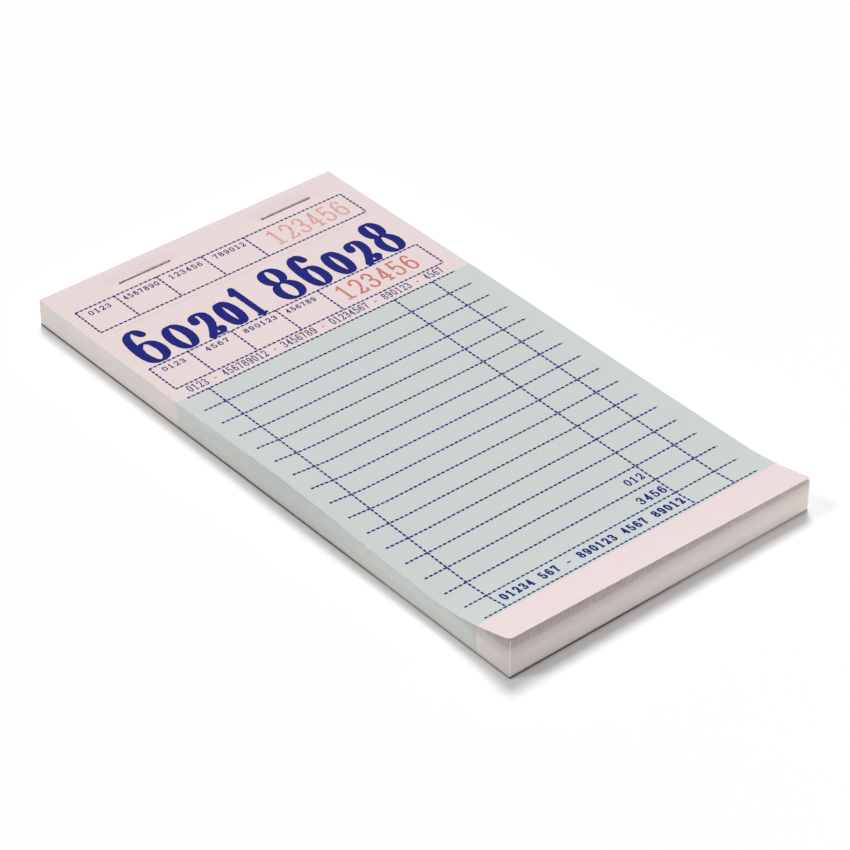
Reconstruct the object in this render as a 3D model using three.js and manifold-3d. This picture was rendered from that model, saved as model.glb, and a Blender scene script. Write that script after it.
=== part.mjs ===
import * as THREE from 'three';
import { mergeVertices } from 'three/addons/utils/BufferGeometryUtils.js';
import Module from 'manifold-3d';

// A pad of guest checks: a stack of printed sheets on a chipboard back, held at the head by two
// wire staples. Every sheet is perforated below the staples. The stub above the perforation stays
// in the pad, and the check below it turns up on the perforation until it is torn off.
//
// Millimetres. X runs across the pad, Y towards the head and Z up. The origin is on the table,
// under the middle of the pad.

// Sheets and back
const padWidth = 88.9;
const stubLength = 22.4;
const perforationGap = 0.04;
const checkLength = 147.76;
const sheetCount = 50;
const paperThickness = 0.1;
const boardThickness = 0.6;
const boardCornerRadius = 0.3;

// Handling has rounded the foot corners of the top sheet, and those of each sheet below it less,
// so that the pad's corners are soon nearly square.
const footCornerRadius = 1.2;
const roundingKept = 0.6;
const leastRounding = 0.1;

// Air under each sheet. The sheets lie closest at the dip, a little before the foot, swell along
// the left edge and curl up at the foot, higher on the left than on the right.
const headAir = 0.032;
const dipAirLeft = 0.009;
const dipAirRight = 0.016;
const dipFromFoot = 24;
const levelFromFoot = 130;
const swellAirLeft = 0.028;
const swellAirRight = 0.001;
const swellFromFoot = 72;
const swellSpread = 30;
const curlAirLeft = 0.098;
const curlAirRight = 0.058;
const curlReachLeft = 24;
const curlReachRight = 20;
const curlPower = 1.7;

// The curl opens the upper sheets more than the lower ones: part of the air under the curl
// gathers under the last few sheets.
const fanShare = 0.45;
const fanPower = 6;

// Sheets are cut flush but end a hair apart at the foot once they have curled.
const footRaggedness = 0.12;
const lengthSteps = 14;
const stepPower = 1.6;
const cornerSteps = 3;

// Perforation: cuts with ties of paper between them
const perforationPitch = 1.6;
const tieWidth = 0.4;
const cutDepth = 0.25;

// Stubs under the top one, gathered in packs with a slit at every sheet's edge
const stubsPerPack = 10;
const slitDepth = 0.3;

// The crown of a staple squeezes the air out of the top stubs, so it lies in a shallow dent
const crownDent = 0.25;
const dentReach = 5.5;
const dentSteps = 3;

// Staples
const wireDiameter = 0.45;
const wireBend = 0.3;
const crownLength = 15;
const crownFromHead = 6.3;
const leftCrownFromLeft = 26.6;
const rightCrownFromRight = 18.8;
const crownLift = 0.02;
const clinchLength = 5.5;
const wireClearance = 0.075;
const wireSides = 8;
const bendSteps = 4;

const padLength = stubLength + perforationGap + checkLength;
const footY = -padLength / 2;
const headY = padLength / 2;
const checkHeadY = footY + checkLength;
const stubFootY = headY - stubLength;
const headHeight = boardThickness + sheetCount * (paperThickness + headAir);

const wasm = await Module();
wasm.setup();

function toManifold(geometry) {
  const bare = geometry.clone();
  bare.deleteAttribute('normal');
  bare.deleteAttribute('uv');
  const merged = mergeVertices(bare, 1e-4);
  return new wasm.Manifold(new wasm.Mesh({
    numProp: 3,
    vertProperties: new Float32Array(merged.attributes.position.array),
    triVerts: new Uint32Array(merged.index.array),
  }));
}

function toGeometry(solid) {
  const mesh = solid.getMesh();
  const geometry = new THREE.BufferGeometry();
  geometry.setAttribute('position', new THREE.BufferAttribute(mesh.vertProperties, 3));
  geometry.setIndex(new THREE.BufferAttribute(mesh.triVerts, 1));
  geometry.computeVertexNormals();
  return geometry;
}

function cutAway(geometry, cutters) {
  let solid = toManifold(geometry);
  for (const cutter of cutters) {
    solid = solid.subtract(toManifold(cutter));
  }
  return toGeometry(solid);
}

// A closed solid through a row of four-cornered rings, each given from the same corner round.
// Opposite sides are split along the same diagonal, so a twisted sheet keeps its thickness and
// lies true on the sheet below.
function loftRings(rings) {
  const positions = rings.flat(2);
  const faces = [];
  for (let ring = 0; ring < rings.length - 1; ring++) {
    for (let corner = 0; corner < 4; corner++) {
      const a = ring * 4 + corner;
      const b = ring * 4 + (corner + 1) % 4;
      if (corner < 2) {
        faces.push(a, b, b + 4, a, b + 4, a + 4);
      } else {
        faces.push(a, b, a + 4, b, b + 4, a + 4);
      }
    }
  }
  const last = (rings.length - 1) * 4;
  faces.push(0, 2, 1, 0, 3, 2);
  faces.push(last, last + 1, last + 2, last, last + 2, last + 3);
  const geometry = new THREE.BufferGeometry();
  geometry.setAttribute('position', new THREE.Float32BufferAttribute(positions, 3));
  geometry.setIndex(faces);
  geometry.computeVertexNormals();
  return geometry;
}

const leftEdge = {
  dipAir: dipAirLeft,
  swellAir: swellAirLeft,
  curlAir: curlAirLeft,
  curlReach: curlReachLeft,
};
const rightEdge = {
  dipAir: dipAirRight,
  swellAir: swellAirRight,
  curlAir: curlAirRight,
  curlReach: curlReachRight,
};

// Height of the underside of the sheet that has so many others under it
function sheetHeight(edge, fromFoot, sheetsBelow) {
  const level = THREE.MathUtils.smoothstep(fromFoot, dipFromFoot, levelFromFoot);
  const swell = Math.exp(-(((fromFoot - swellFromFoot) / swellSpread) ** 2));
  const curl = Math.max(0, 1 - fromFoot / edge.curlReach) ** curlPower;
  const settledAir = THREE.MathUtils.lerp(edge.dipAir, headAir, level) + edge.swellAir * swell;
  const part = (sheetsBelow + 1) / sheetCount;
  const fannedPart = (1 - fanShare) * part + fanShare * part ** fanPower;
  const air = sheetCount * (settledAir * part + edge.curlAir * curl * fannedPart);
  return boardThickness + sheetsBelow * paperThickness + air;
}

// The four corners of a sheet's cross-section at one distance from the foot
function sheetSection(fromFoot, sheetsBelow, inset) {
  const share = inset / padWidth;
  const leftHeight = sheetHeight(leftEdge, fromFoot, sheetsBelow);
  const rightHeight = sheetHeight(rightEdge, fromFoot, sheetsBelow);
  const left = THREE.MathUtils.lerp(leftHeight, rightHeight, share);
  const right = THREE.MathUtils.lerp(rightHeight, leftHeight, share);
  const x = padWidth / 2 - inset;
  const y = footY + fromFoot;
  return [
    new THREE.Vector3(-x, y, left),
    new THREE.Vector3(-x, y, left + paperThickness),
    new THREE.Vector3(x, y, right + paperThickness),
    new THREE.Vector3(x, y, right),
  ];
}

// The sections of a check lie closest together where it curls, at the foot. All the checks have
// them at the same places, so that each lies clear of the next between them too.
function checkGeometry(sheetsBelow) {
  const rounding = Math.max(leastRounding, roundingKept ** (sheetCount - 1 - sheetsBelow));
  const sections = [];
  for (let step = 0; step <= cornerSteps; step++) {
    const angle = (Math.PI / 2) * (step / cornerSteps);
    const fromFoot = footCornerRadius * (1 - Math.cos(angle));
    const inset = rounding * footCornerRadius * (1 - Math.sin(angle));
    sections.push(sheetSection(fromFoot, sheetsBelow, inset));
  }
  for (let step = 1; step <= lengthSteps; step++) {
    const share = (step / lengthSteps) ** stepPower;
    const fromFoot = THREE.MathUtils.lerp(footCornerRadius, checkLength, share);
    sections.push(sheetSection(fromFoot, sheetsBelow, 0));
  }
  const wave = 0.5 + 0.5 * Math.sin(2.4 * (sheetCount - 1 - sheetsBelow));
  const share = Math.min(1, (footRaggedness * wave) / (sections[1][0].y - sections[0][0].y));
  sections[0] = sections[0].map((corner, index) => corner.clone().lerp(sections[1][index], share));
  return loftRings(sections.map((section) => section.map((corner) => corner.toArray())));
}

// The cuts of the perforation, as boxes that reach from the gap into the edge of the top sheet
function perforationCuts(edgeY) {
  const cuts = [];
  const count = Math.floor((padWidth + tieWidth) / perforationPitch);
  const cutWidth = perforationPitch - tieWidth;
  for (let index = 0; index < count; index++) {
    const cut = new THREE.BoxGeometry(cutWidth, 2 * cutDepth, 2);
    const x = (index - (count - 1) / 2) * perforationPitch;
    cuts.push(cut.translate(x, edgeY, headHeight));
  }
  return cuts;
}

// Staples. Each is one wire: a crown on the top sheet, two legs through the pad, and both ends
// folded inwards against the underside of the back.
const wireRadius = wireDiameter / 2;
const crownHeight = headHeight - crownDent + crownLift + wireRadius;
const crownY = headY - crownFromHead;
const stapleMiddles = {
  left: -padWidth / 2 + leftCrownFromLeft,
  right: padWidth / 2 - rightCrownFromRight,
};

// The middle line of the wire, taken station by station so that the bends get theirs and the
// straight runs need no more than their ends
class StapleLine extends THREE.Curve {
  constructor() {
    super();
    const half = crownLength / 2;
    this.places = [];
    this.directions = [];
    this.addStation(half - clinchLength, wireRadius, 0);
    this.addBend(half - wireBend, wireRadius + wireBend, -90);
    this.addBend(half - wireBend, crownHeight - wireBend, 0);
    this.addBend(-half + wireBend, crownHeight - wireBend, 90);
    this.addBend(-half + wireBend, wireRadius + wireBend, 180);
    this.addStation(-half + clinchLength, wireRadius, 360);
  }

  addStation(x, z, heading) {
    const angle = THREE.MathUtils.degToRad(heading);
    this.places.push(new THREE.Vector3(x, 0, z));
    this.directions.push(new THREE.Vector3(Math.cos(angle), 0, Math.sin(angle)));
  }

  addBend(x, z, from) {
    for (let step = 0; step <= bendSteps; step++) {
      const degrees = from + (90 * step) / bendSteps;
      const angle = THREE.MathUtils.degToRad(degrees);
      const across = x + wireBend * Math.cos(angle);
      const height = z + wireBend * Math.sin(angle);
      this.addStation(across, height, degrees + 90);
    }
  }

  getPointAt(share) {
    return this.places[Math.round(share * (this.places.length - 1))].clone();
  }

  getTangentAt(share) {
    return this.directions[Math.round(share * (this.places.length - 1))].clone();
  }
}

function roundSection(radius) {
  const corners = [];
  for (let side = 0; side < wireSides; side++) {
    const angle = (2 * Math.PI * side) / wireSides;
    corners.push(new THREE.Vector2(radius * Math.cos(angle), radius * Math.sin(angle)));
  }
  return new THREE.Shape(corners);
}

function stapleGeometry(middleX) {
  const line = new StapleLine();
  const wire = new THREE.ExtrudeGeometry(roundSection(wireRadius), {
    steps: line.places.length - 1,
    extrudePath: line,
    bevelEnabled: false,
  });
  return wire.translate(middleX, crownY, 0);
}

// Holes that the four legs make through stubs and back
function legHoles(low, high) {
  const holes = [];
  for (const middle of Object.values(stapleMiddles)) {
    for (const side of [-1, 1]) {
      const depth = high - low + 2;
      const radius = wireRadius + wireClearance;
      const hole = new THREE.CylinderGeometry(radius, radius, depth, wireSides);
      hole.rotateX(Math.PI / 2);
      hole.translate(middle + (side * crownLength) / 2, crownY, (low + high) / 2);
      holes.push(hole);
    }
  }
  return holes;
}

// Grooves that the folded ends press into the underside of the back
function clinchGrooves() {
  const grooves = [];
  const width = wireDiameter + 2 * wireClearance;
  const depth = wireDiameter + wireClearance;
  const length = clinchLength + wireClearance;
  for (const middle of Object.values(stapleMiddles)) {
    for (const side of [-1, 1]) {
      const groove = new THREE.BoxGeometry(length, width, 2 * depth);
      const x = middle + side * (crownLength / 2 - length / 2);
      grooves.push(groove.translate(x, crownY, 0));
    }
  }
  return grooves;
}

// How far the two crowns press down the top sheet at a place on it
function dentDepth(x, y) {
  let depth = 0;
  for (const middle of Object.values(stapleMiddles)) {
    const along = Math.max(0, Math.abs(x - middle) - crownLength / 2 - wireDiameter);
    const across = Math.max(0, Math.abs(y - crownY) - wireDiameter);
    const away = THREE.MathUtils.smoothstep(Math.hypot(along, across), 0, dentReach);
    depth += crownDent * (1 - away);
  }
  return depth;
}

// Lines across and along the stub, close together over the slopes of the dents
function dentLines() {
  const across = [];
  const along = [];
  for (let step = 0; step <= dentSteps; step++) {
    const slope = wireDiameter + (dentReach * step) / dentSteps;
    along.push(crownY - slope, crownY + slope);
    for (const middle of Object.values(stapleMiddles)) {
      const reach = crownLength / 2 + slope;
      across.push(middle - reach, middle + reach);
    }
  }
  const inOrder = (first, second) => first - second;
  return { across: across.sort(inOrder), along: along.sort(inOrder) };
}

// A closed solid between a lower and an upper height over a grid of lines
function gridSolid(xs, ys, lowHeight, highHeight) {
  const positions = [];
  for (const height of [lowHeight, highHeight]) {
    for (const y of ys) {
      for (const x of xs) {
        positions.push(x, y, height(x, y));
      }
    }
  }
  const upper = xs.length * ys.length;
  const faces = [];
  for (let row = 0; row < ys.length - 1; row++) {
    for (let column = 0; column < xs.length - 1; column++) {
      const a = row * xs.length + column;
      const b = a + 1;
      const c = b + xs.length;
      const d = a + xs.length;
      faces.push(a, c, b, a, d, c);
      faces.push(a + upper, b + upper, c + upper, a + upper, c + upper, d + upper);
    }
  }
  const rim = [];
  for (let column = 0; column < xs.length - 1; column++) {
    rim.push(column);
  }
  for (let row = 0; row < ys.length - 1; row++) {
    rim.push(row * xs.length + xs.length - 1);
  }
  for (let column = xs.length - 1; column > 0; column--) {
    rim.push((ys.length - 1) * xs.length + column);
  }
  for (let row = ys.length - 1; row > 0; row--) {
    rim.push(row * xs.length);
  }
  rim.forEach((a, index) => {
    const b = rim[(index + 1) % rim.length];
    faces.push(a, b, b + upper, a, b + upper, a + upper);
  });
  const geometry = new THREE.BufferGeometry();
  geometry.setAttribute('position', new THREE.Float32BufferAttribute(positions, 3));
  geometry.setIndex(faces);
  geometry.computeVertexNormals();
  return geometry;
}

function topStubGeometry() {
  const low = headHeight - paperThickness;
  const { across, along } = dentLines();
  const xs = [-padWidth / 2, ...across, padWidth / 2];
  const ys = [stubFootY, ...along, headY];
  const underside = (x, y) => low - dentDepth(x, y);
  const topSide = (x, y) => headHeight - dentDepth(x, y);
  const sheet = gridSolid(xs, ys, underside, topSide);
  const cutters = legHoles(0, headHeight).concat(perforationCuts(stubFootY));
  return cutAway(sheet, cutters);
}

// Sheets of a pack touch in the middle, and a slit runs round between each sheet's edge and the
// next. The pack under the top stub takes up the rest of the dents.
function stubPackGeometry(firstBelow, count) {
  const rings = [];
  const rectangle = (z, inset) => [
    [-padWidth / 2 + inset, stubFootY + inset, z],
    [padWidth / 2 - inset, stubFootY + inset, z],
    [padWidth / 2 - inset, headY - inset, z],
    [-padWidth / 2 + inset, headY - inset, z],
  ];
  let high = 0;
  for (let index = 0; index < count; index++) {
    const low = sheetHeight(rightEdge, padLength, firstBelow + index);
    high = low + paperThickness;
    if (index > 0) {
      rings.push(rectangle(low, slitDepth));
    }
    rings.push(rectangle(low, 0), rectangle(high, 0));
    if (index < count - 1) {
      rings.push(rectangle(high, slitDepth));
    }
  }
  const cutters = legHoles(0, headHeight);
  if (firstBelow + count === sheetCount - 1) {
    const { across, along } = dentLines();
    const left = across.length / 2;
    const share = count / (count + 1);
    const floor = (x, y) => high - share * dentDepth(x, y);
    const above = () => headHeight;
    cutters.push(gridSolid(across.slice(0, left), along, floor, above));
    cutters.push(gridSolid(across.slice(left), along, floor, above));
  }
  return cutAway(loftRings(rings), cutters);
}

// The back has the sheets' outline: square corners at the head, rounded ones at the foot
function boardGeometry() {
  const half = padWidth / 2;
  const radius = boardCornerRadius;
  const outline = new THREE.Shape();
  outline.moveTo(-half + radius, footY);
  outline.lineTo(half - radius, footY);
  outline.absarc(half - radius, footY + radius, radius, -Math.PI / 2, 0);
  outline.lineTo(half, headY);
  outline.lineTo(-half, headY);
  outline.lineTo(-half, footY + radius);
  outline.absarc(-half + radius, footY + radius, radius, Math.PI, (3 * Math.PI) / 2);
  const board = new THREE.ExtrudeGeometry(outline, {
    depth: boardThickness,
    curveSegments: cornerSteps,
    bevelEnabled: false,
  });
  return cutAway(board, legHoles(0, boardThickness).concat(clinchGrooves()));
}

const group = new THREE.Group();

function addPiece(name, geometry, color, roughness, metalness) {
  const material = new THREE.MeshStandardMaterial({ color, roughness, metalness });
  const mesh = new THREE.Mesh(geometry, material);
  mesh.name = name;
  group.add(mesh);
}

const twoDigits = (number) => String(number).padStart(2, '0');
const checkColor = 0xd3d9d5;
const stubColor = 0xe9dada;
const paperRoughness = 0.85;

for (let number = 1; number <= sheetCount; number++) {
  let check = checkGeometry(sheetCount - number);
  if (number === 1) {
    check = cutAway(check, perforationCuts(checkHeadY));
  }
  addPiece(`check_${twoDigits(number)}`, check, checkColor, paperRoughness, 0);
}

addPiece('stub_01', topStubGeometry(), stubColor, paperRoughness, 0);
for (let first = 2; first <= sheetCount; first += stubsPerPack) {
  const last = Math.min(first + stubsPerPack - 1, sheetCount);
  const pack = stubPackGeometry(sheetCount - last, last - first + 1);
  addPiece(`stubs_${twoDigits(first)}_${twoDigits(last)}`, pack, stubColor, paperRoughness, 0);
}

addPiece('backing_board', boardGeometry(), 0x8c7f74, 0.9, 0);
addPiece('staple_left', stapleGeometry(stapleMiddles.left), 0x6b6c70, 0.35, 1);
addPiece('staple_right', stapleGeometry(stapleMiddles.right), 0x6b6c70, 0.35, 1);

export default group;
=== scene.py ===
# %% [markdown]
# # A pad of guest checks
#
# Fifty thin sheets on a chipboard back, held by two wire staples at the head. The sheets are
# printed in dark blue on paper tinted pink at both ends and grey-green between, and the foot of
# the pad has curled up and fanned open. The model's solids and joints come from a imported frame,
# and this scene gives them their finish. One unit is a metre, so sizes are written in
# millimetres and multiplied by MM.

# %% Load the frame
import math
from functools import partial

import bpy
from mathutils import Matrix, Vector
from mathutils.geometry import delaunay_2d_cdt


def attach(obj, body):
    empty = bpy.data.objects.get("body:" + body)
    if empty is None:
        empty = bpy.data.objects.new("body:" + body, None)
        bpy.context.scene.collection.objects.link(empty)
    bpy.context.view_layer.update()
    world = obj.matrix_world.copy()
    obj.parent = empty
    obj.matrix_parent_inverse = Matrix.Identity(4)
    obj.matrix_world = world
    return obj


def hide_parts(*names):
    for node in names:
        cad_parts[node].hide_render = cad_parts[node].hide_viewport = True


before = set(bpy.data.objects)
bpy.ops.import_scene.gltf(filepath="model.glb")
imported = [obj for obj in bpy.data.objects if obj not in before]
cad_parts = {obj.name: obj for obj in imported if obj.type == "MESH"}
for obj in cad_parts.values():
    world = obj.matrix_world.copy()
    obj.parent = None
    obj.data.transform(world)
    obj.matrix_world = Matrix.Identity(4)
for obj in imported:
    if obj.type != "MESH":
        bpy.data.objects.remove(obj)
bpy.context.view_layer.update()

MM = 0.001
scene = bpy.context.scene

# %% [markdown]
# ## The camera
#
# The pad is seen from its front left corner, from about 37 degrees up, with a long lens: its
# edges hardly converge. A camera can be placed by its position and a rotation, but here it is
# placed by the point it looks at, two angles and a distance, because these can be read off a
# picture of a box one by one.

# %% Camera
AZIMUTH = math.radians(-40.27)
ELEVATION = math.radians(36.62)
DISTANCE = 783.8 * MM
LOOKS_AT = Vector((-0.15, -5.4, 0)) * MM
LENS, SENSOR = 143.72, 36


def add_camera():
    data = bpy.data.cameras.new("camera")
    data.lens = LENS
    data.sensor_width = SENSOR
    data.clip_start = 0.05
    data.clip_end = 20
    camera = bpy.data.objects.new("camera", data)
    back = Vector((math.sin(AZIMUTH) * math.cos(ELEVATION),
                   -math.cos(AZIMUTH) * math.cos(ELEVATION),
                   math.sin(ELEVATION)))
    camera.location = LOOKS_AT + back * DISTANCE
    camera.rotation_euler = back.to_track_quat("Z", "Y").to_euler()
    scene.collection.objects.link(camera)
    return camera


scene.camera = add_camera()
scene.view_settings.view_transform = "Standard"
print("camera at", [round(value, 3) for value in scene.camera.location])

# %% [markdown]
# ## How the sheets lie
#
# Every sheet lies a little higher than the one below it: by its own thickness and by the air
# between them. At the head the staples hold them evenly. Towards the foot they dip, swell along
# the left edge and then curl up, more on the left than on the right, and there the upper sheets
# take most of the air, so they fan open. Fifty sheets could be bent one by one, but they would
# soon cut through one another. A formula keeps air between them everywhere. It is the one that
# the solids are made with, with one thing more: halfway down, the pad sags between its side
# edges by up to a millimetre. Anything printed or placed on a sheet can ask it for the height.

# %% Sizes of the pad
WIDTH, LENGTH = 88.9, 170.2
CHECK_LENGTH, GAP = 147.76, 0.04
SHEETS, PAPER, BOARD = 50, 0.1, 0.6
FOOT, HEAD = -LENGTH / 2, LENGTH / 2
CHECK_HEAD = FOOT + CHECK_LENGTH
HEAD_AIR = 0.032
HEAD_HEIGHT = BOARD + SHEETS * (PAPER + HEAD_AIR)
print("the pad is", round(HEAD_HEIGHT, 2), "mm high at the head")

# %% Air between the sheets
LEFT_EDGE = {"dip": 0.009, "swell": 0.028, "curl": 0.098, "reach": 24}
RIGHT_EDGE = {"dip": 0.016, "swell": 0.001, "curl": 0.058, "reach": 20}
DIP_ENDS, LEVEL_FROM = 24, 130
SWELL_AT, SWELL_SPREAD = 72, 30
SWELL_FADES, SWELL_ENDS = 120, 147
CURL_POWER = 1.7


def smooth(value, low, high):
    """Rises from 0 at low to 1 at high, gently at both ends."""
    share = min(1, max(0, (value - low) / (high - low)))
    return share * share * (3 - 2 * share)


def edge_air(from_foot, dip, swell, curl, reach):
    """Air under a sheet at one edge: what is spread evenly, and what the curl adds."""
    level = smooth(from_foot, DIP_ENDS, LEVEL_FROM)
    hump = math.exp(-(((from_foot - SWELL_AT) / SWELL_SPREAD) ** 2))
    hump *= 1 - smooth(from_foot, SWELL_FADES, SWELL_ENDS)
    settled = dip + (HEAD_AIR - dip) * level + swell * hump
    return settled, curl * max(0, 1 - from_foot / reach) ** CURL_POWER


print("air at the left foot corner:", [round(air, 3) for air in edge_air(0, **LEFT_EDGE)])

# %% The lie of a sheet
EVEN_SHARE, FANNED_SHARE, FAN_POWER = 0.55, 0.45, 6
SAG, SAG_AT, SAG_SPREAD = 1.02, 71, 31
SAG_FULL, SAG_FADES, SAG_ENDS = 15, 58, 84
SAG_EASED, EASES_FROM, EASES_TO = 0.35, 10, 75


def sag(from_left, from_foot):
    """How far the top sheet lies below a straight line from its left to its right edge."""
    across = smooth(from_left, 0, SAG_FULL) * (1 - smooth(from_left, SAG_FADES, SAG_ENDS))
    across *= 1 - SAG_EASED * smooth(from_left, EASES_FROM, EASES_TO)
    return SAG * across * math.exp(-(((from_foot - SAG_AT) / SAG_SPREAD) ** 2))


def sheet_height(x, y, below):
    """Height of the underside of the sheet that has so many others below it, in millimetres."""
    from_foot = y - FOOT
    side = (x + WIDTH / 2) / WIDTH
    left = edge_air(from_foot, **LEFT_EDGE)
    right = edge_air(from_foot, **RIGHT_EDGE)
    settled = left[0] + (right[0] - left[0]) * side
    curled = left[1] + (right[1] - left[1]) * side
    part = (below + 1) / SHEETS
    fanned = EVEN_SHARE * part + FANNED_SHARE * part**FAN_POWER
    air = SHEETS * (settled * part + curled * fanned)
    return BOARD + below * PAPER + air - sag(x + WIDTH / 2, from_foot) * part


for place in ((-WIDTH / 2, FOOT), (WIDTH / 2, FOOT), (0, CHECK_HEAD)):
    print("top sheet at", place, "is", round(sheet_height(*place, SHEETS - 1) + PAPER, 2))

# %% [markdown]
# ## Small shader helpers
#
# A material is a graph of nodes. It could be wired up by hand in the editor, but written down it
# can be read and changed. Short helpers keep the graphs readable: they add a node and set its
# fixed values, do arithmetic on sockets or numbers, and mix colours. Colours are written as they
# look on a screen and turned into the linear values that the renderer wants.

# %% Helpers for nodes and colours
def screen(red, green, blue):
    """A colour as seen on a screen, 0 to 255, as linear values with an alpha of one."""
    linear = []
    for value in (red, green, blue):
        value /= 255
        linear.append(value / 12.92 if value <= 0.04045 else ((value + 0.055) / 1.055) ** 2.4)
    return (*linear, 1)


def node(tree, kind, **values):
    made = tree.nodes.new(kind)
    for name, value in values.items():
        setattr(made, name, value)
    return made


def feed(tree, socket, value):
    """Links a socket to another, or sets a plain value on it."""
    if isinstance(value, bpy.types.NodeSocket):
        tree.links.new(value, socket)
    else:
        socket.default_value = value


print("screen white is", screen(255, 255, 255))

# %% Helpers for arithmetic
def reckon(tree, operation, *inputs, clamp=False):
    made = node(tree, "ShaderNodeMath", operation=operation, use_clamp=clamp)
    for socket, value in zip(made.inputs, inputs):
        feed(tree, socket, value)
    return made.outputs[0]


def product(tree, first, *others):
    for other in others:
        first = reckon(tree, "MULTIPLY", first, other)
    return first


def ramp(tree, value, start, width):
    """0 up to start and 1 from start + width on, both in millimetres. A width below zero turns
    it round."""
    return reckon(tree, "MULTIPLY_ADD", value, 1 / (width * MM), -start / width, clamp=True)


def parts_of(tree, vector):
    """The X, Y and Z of a vector, as three sockets."""
    split = node(tree, "ShaderNodeSeparateXYZ")
    feed(tree, split.inputs[0], vector)
    return split.outputs


def stretched(tree, vector, x, y, z):
    made = node(tree, "ShaderNodeVectorMath", operation="MULTIPLY")
    feed(tree, made.inputs[0], vector)
    made.inputs[1].default_value = (x, y, z)
    return made.outputs[0]


print("a ramp over 0.5 mm rises by", round(1 / (0.5 * MM)), "for each metre")

# %% Helpers for patterns and colours that vary
def noise(tree, vector, scale, detail=2.0, roughness=0.5):
    made = node(tree, "ShaderNodeTexNoise")
    feed(tree, made.inputs["Vector"], vector)
    made.inputs["Scale"].default_value = scale
    made.inputs["Detail"].default_value = detail
    made.inputs["Roughness"].default_value = roughness
    return made.outputs[0]


def mix_colors(tree, factor, first, second, blend="MIX"):
    made = node(tree, "ShaderNodeMix", data_type="RGBA", blend_type=blend)
    feed(tree, made.inputs[0], factor)
    feed(tree, made.inputs[6], first)
    feed(tree, made.inputs[7], second)
    return made.outputs[2]


def darkened(tree, color, shade):
    """A colour multiplied by one shade in all three channels."""
    gray = node(tree, "ShaderNodeCombineColor")
    for socket in gray.inputs:
        tree.links.new(shade, socket)
    return mix_colors(tree, 1.0, color, gray.outputs[0], "MULTIPLY")


print("helpers made: noise, mix_colors and darkened")

# %% Helpers for a whole material
def new_material(name):
    """A material, its tree and its shader."""
    material = bpy.data.materials.new(name)
    material.use_nodes = True
    tree = material.node_tree
    return material, tree, tree.nodes["Principled BSDF"]


def place_of(tree):
    """Where each point lies on its piece."""
    return node(tree, "ShaderNodeTexCoord").outputs["Object"]


def facing_of(tree):
    """Which way the surface faces, as X, Y and Z."""
    return parts_of(tree, node(tree, "ShaderNodeTexCoord").outputs["Normal"])


def add_bump(tree, shader, height, strength, distance):
    bump = node(tree, "ShaderNodeBump")
    bump.inputs["Strength"].default_value = strength
    bump.inputs["Distance"].default_value = distance * MM
    tree.links.new(height, bump.inputs["Height"])
    tree.links.new(bump.outputs[0], shader.inputs["Normal"])


print("helpers made: new_material, place_of, facing_of and add_bump")

# %% [markdown]
# ## What all paper here shares
#
# Uncoated paper is a mat of short fibres. From a hand's breadth away that shows as a very slight
# cloudiness and a tooth that breaks up the light, and nothing more. A picture of paper would do
# it too, but it would repeat, and noise doesn't. Both the sheets and the ink on them need it, so
# it is one node group that puts out a shade to multiply a colour with, and a height for a bump.

# %% Node group: paper fibres
def new_group(name, inputs, outputs):
    group = bpy.data.node_groups.new(name, "ShaderNodeTree")
    for title, kind, value in inputs:
        socket = group.interface.new_socket(name=title, in_out="INPUT", socket_type=kind)
        if value is not None:
            socket.default_value = value
    for title, kind in outputs:
        group.interface.new_socket(name=title, in_out="OUTPUT", socket_type=kind)
    return group, node(group, "NodeGroupInput"), node(group, "NodeGroupOutput")


def make_fibre_group():
    group, given, result = new_group(
        "paper_fibres",
        [("Position", "NodeSocketVector", None), ("Cloudiness", "NodeSocketFloat", 0.02)],
        [("Shade", "NodeSocketFloat"), ("Height", "NodeSocketFloat")],
    )
    clouds = noise(group, given.outputs["Position"], 160, detail=3)
    specks = noise(group, given.outputs["Position"], 2600, detail=1)
    uneven = reckon(group, "SUBTRACT", reckon(group, "ADD", clouds, specks), 1.0)
    spread = product(group, uneven, given.outputs["Cloudiness"])
    group.links.new(reckon(group, "ADD", 1.0, spread), result.inputs["Shade"])
    tangled = stretched(group, given.outputs["Position"], 1, 0.4, 1)
    group.links.new(noise(group, tangled, 3600, detail=2), result.inputs["Height"])
    return group


PAPER_FIBRES = make_fibre_group()
TOOTH = {"strength": 0.12, "distance": 0.03}


def fibres_of(tree, where, cloudiness):
    """The group placed in a material, with its own cloudiness."""
    fibres = node(tree, "ShaderNodeGroup", node_tree=PAPER_FIBRES)
    tree.links.new(where, fibres.inputs["Position"])
    fibres.inputs["Cloudiness"].default_value = cloudiness
    return fibres.outputs


print("group", PAPER_FIBRES.name, "with", len(PAPER_FIBRES.nodes), "nodes")

# %% [markdown]
# ## Tinted paper
#
# The sheets are tinted on the press: pink at the head and at the foot, a pale grey-green between.
# The borders lie straight across the sheet, so they need no painted picture: the distance along
# the pad gives them, with a hair of softness. On the bare back of a sheet the tint only shines
# through, and on the cut edges it is paler.

# %% Tints
PINK, GREEN = screen(230, 214, 213), screen(202, 209, 207)
EDGE_PINK, EDGE_GREEN = screen(234, 226, 221), screen(215, 218, 213)
BARE_PAPER, BARE_SHARE = screen(236, 234, 229), 0.7
TINT_HEAD_END = HEAD - 54.6
TINT_FOOT_END = FOOT + 10.6
SOFT_BORDER = 0.125


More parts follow.
